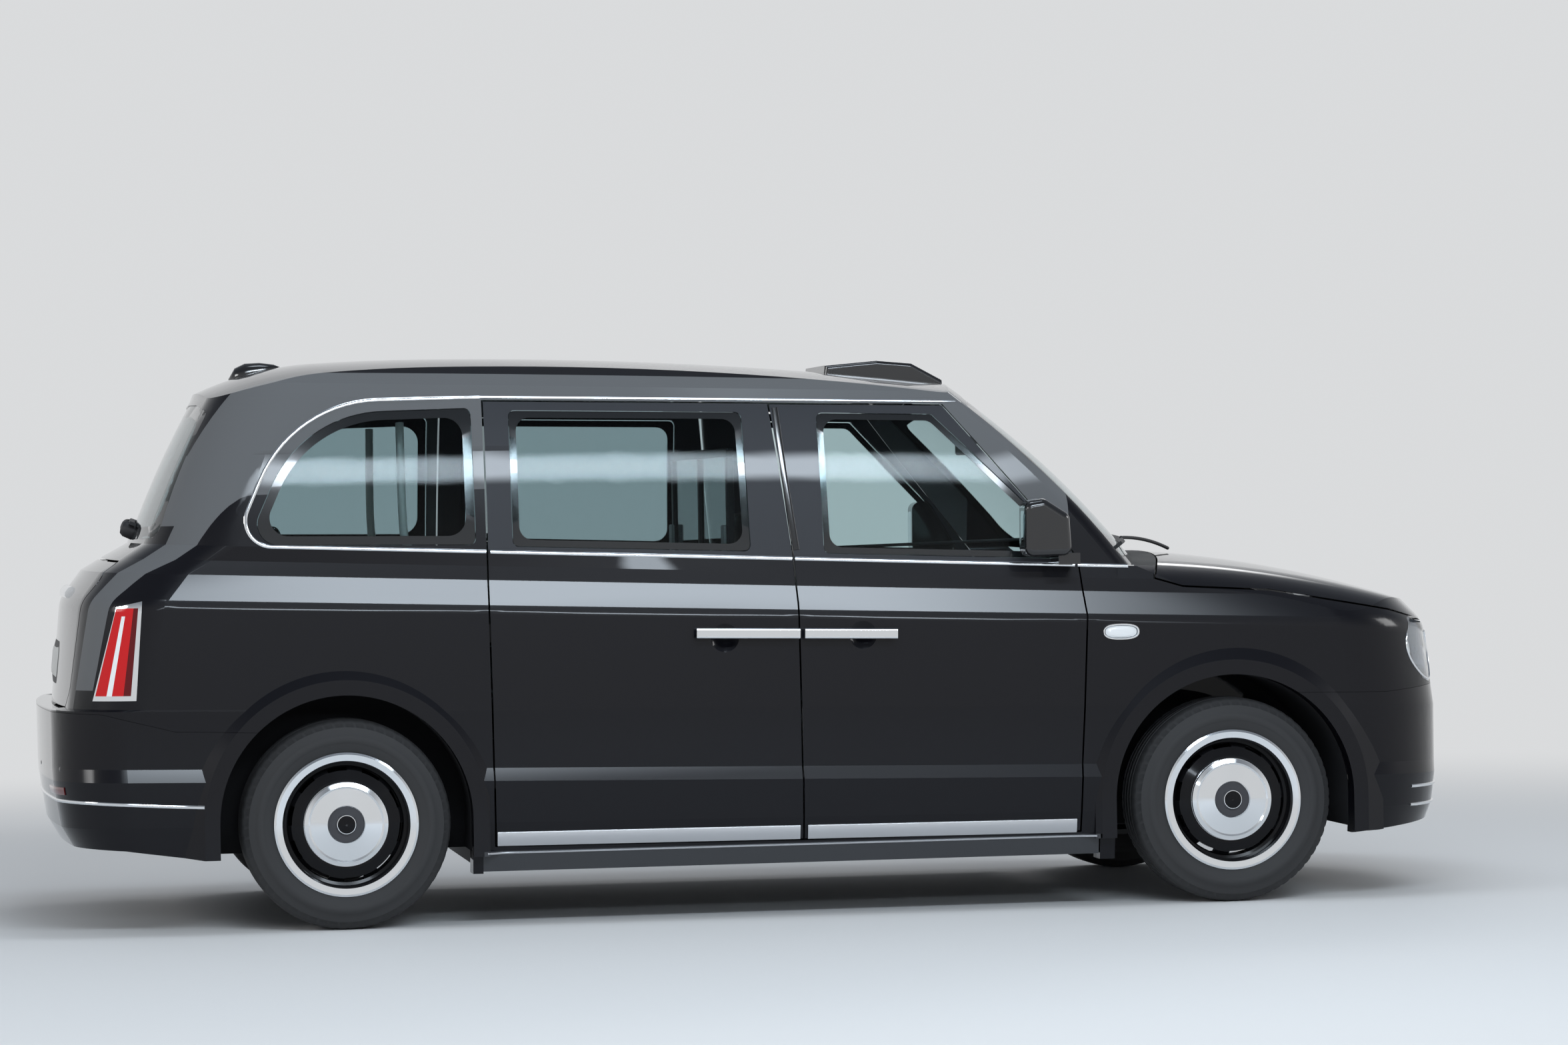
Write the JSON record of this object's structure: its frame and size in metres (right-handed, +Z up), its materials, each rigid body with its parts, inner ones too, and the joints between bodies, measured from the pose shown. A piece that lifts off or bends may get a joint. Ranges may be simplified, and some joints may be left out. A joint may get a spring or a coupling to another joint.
{
  "type": "taxi cab",
  "caption": "Purpose-built black taxi cab with rear-hinged passenger doors, boot lid, bonnet, steered front wheels, roof sign and a partitioned cabin.",
  "frame": {"origin": "on the ground under the middle of the length and width", "axes": "+X forward, +Y to the left, +Z up"},
  "size_m": [4.856, 2.034, 1.888],
  "materials": {
    "paint": "gloss",
    "undercoat": "matte",
    "plastic_dark": "satin",
    "glass_clear": "polished",
    "glass_dark": "polished",
    "grille_black": "gloss",
    "lamp_clear": "polished",
    "lamp_red": "polished",
    "sign_plastic": "gloss",
    "gloss_black": "gloss",
    "steel_black": "satin",
    "cast_metal": "rough",
    "tyre": "matte",
    "wheel_black": "gloss",
    "cabin_plastic": "satin",
    "seat_cloth": "woven"
  },
  "bodies": {
    "body": {"body_side_left": "paint", "body_side_right": "paint", "roof": "paint", "tail_panel": "paint", "floor_pan": "undercoat", "underbody": "plastic_dark", "front_bumper": "paint", "rear_bumper": "paint", "quarter_glasses": "glass_dark", "windscreen": "glass_clear", "rear_glass": "glass_dark", "grille": "grille_black", "headlamps": "grille_black", "headlamp_lenses": "lamp_clear", "tail_lamps": "lamp_red", "roof_sign": "sign_plastic", "front_subframe": "steel_black", "rear_axle": "steel_black", "engine_block": "cast_metal", "dashboard": "cabin_plastic", "driver_seat": "seat_cloth", "rear_bench": "seat_cloth", "partition": "cabin_plastic"},
    "bonnet": {"bonnet": "paint"},
    "boot_lid": {"boot_lid": "paint"},
    "front_door_left": {"front_door_left": "paint", "front_door_glass_left": "glass_clear", "mirror_left": "gloss_black"},
    "rear_door_left": {"rear_door_left": "paint", "rear_door_glass_left": "glass_dark"},
    "knuckle_left": {"knuckle_left": "cast_metal"},
    "front_wheel_left": {"front_tyre_left": "tyre", "front_rim_left": "wheel_black"},
    "rear_wheel_left": {"rear_tyre_left": "tyre", "rear_rim_left": "wheel_black"},
    "front_door_right": {"front_door_right": "paint", "front_door_glass_right": "glass_clear", "mirror_right": "gloss_black"},
    "rear_door_right": {"rear_door_right": "paint", "rear_door_glass_right": "glass_dark"},
    "knuckle_right": {"knuckle_right": "cast_metal"},
    "front_wheel_right": {"front_tyre_right": "tyre", "front_rim_right": "wheel_black"},
    "rear_wheel_right": {"rear_tyre_right": "tyre", "rear_rim_right": "wheel_black"},
    "steering_wheel": {"steering_wheel": "cabin_plastic"}
  },
  "joints": [
    {"name": "front_door_left_hinge", "type": "hinge", "parent": "body", "child": "front_door_left", "pos_m": [1.008, 0.93, 0.9], "axis": [0, 0, -1], "range_deg": [0, 70]},
    {"name": "rear_door_left_hinge", "type": "hinge", "parent": "body", "child": "rear_door_left", "pos_m": [-0.935, 0.93, 0.9], "axis": [0, 0, 1], "range_deg": [0, 88]},
    {"name": "front_door_right_hinge", "type": "hinge", "parent": "body", "child": "front_door_right", "pos_m": [1.008, -0.93, 0.9], "axis": [0, 0, 1], "range_deg": [0, 70]},
    {"name": "rear_door_right_hinge", "type": "hinge", "parent": "body", "child": "rear_door_right", "pos_m": [-0.935, -0.93, 0.9], "axis": [0, 0, -1], "range_deg": [0, 88]},
    {"name": "bonnet_hinge", "type": "hinge", "parent": "body", "child": "bonnet", "pos_m": [1.285, 0, 1.19], "axis": [0, -1, 0], "range_deg": [0, 50]},
    {"name": "boot_lid_hinge", "type": "hinge", "parent": "body", "child": "boot_lid", "pos_m": [-2.212, 0, 1.225], "axis": [0, 1, 0], "range_deg": [0, 85]},
    {"name": "steer_left", "type": "hinge", "parent": "body", "child": "knuckle_left", "pos_m": [1.538, 0.7755, 0.345], "axis": [0, 0, 1], "range_deg": [-45, 45]},
    {"name": "front_spin_left", "type": "hinge", "parent": "knuckle_left", "child": "front_wheel_left", "pos_m": [1.538, 0.7975, 0.345], "axis": [0, 1, 0], "continuous": true},
    {"name": "rear_spin_left", "type": "hinge", "parent": "body", "child": "rear_wheel_left", "pos_m": [-1.447, 0.7975, 0.345], "axis": [0, 1, 0], "continuous": true},
    {"name": "steer_right", "type": "hinge", "parent": "body", "child": "knuckle_right", "pos_m": [1.538, -0.7755, 0.345], "axis": [0, 0, 1], "range_deg": [-45, 45]},
    {"name": "front_spin_right", "type": "hinge", "parent": "knuckle_right", "child": "front_wheel_right", "pos_m": [1.538, -0.7975, 0.345], "axis": [0, 1, 0], "continuous": true},
    {"name": "rear_spin_right", "type": "hinge", "parent": "body", "child": "rear_wheel_right", "pos_m": [-1.447, -0.7975, 0.345], "axis": [0, 1, 0], "continuous": true},
    {"name": "steering_wheel_turn", "type": "hinge", "parent": "body", "child": "steering_wheel", "pos_m": [0.6, -0.37, 0.976], "axis": [-0.9063, 0, 0.4226], "range_deg": [-450, 450]}
  ],
  "couplings": [
    {"joint": "steer_right", "follows": "steer_left", "ratio": 1},
    {"joint": "steering_wheel_turn", "follows": "steer_left", "ratio": 9}
  ]
}
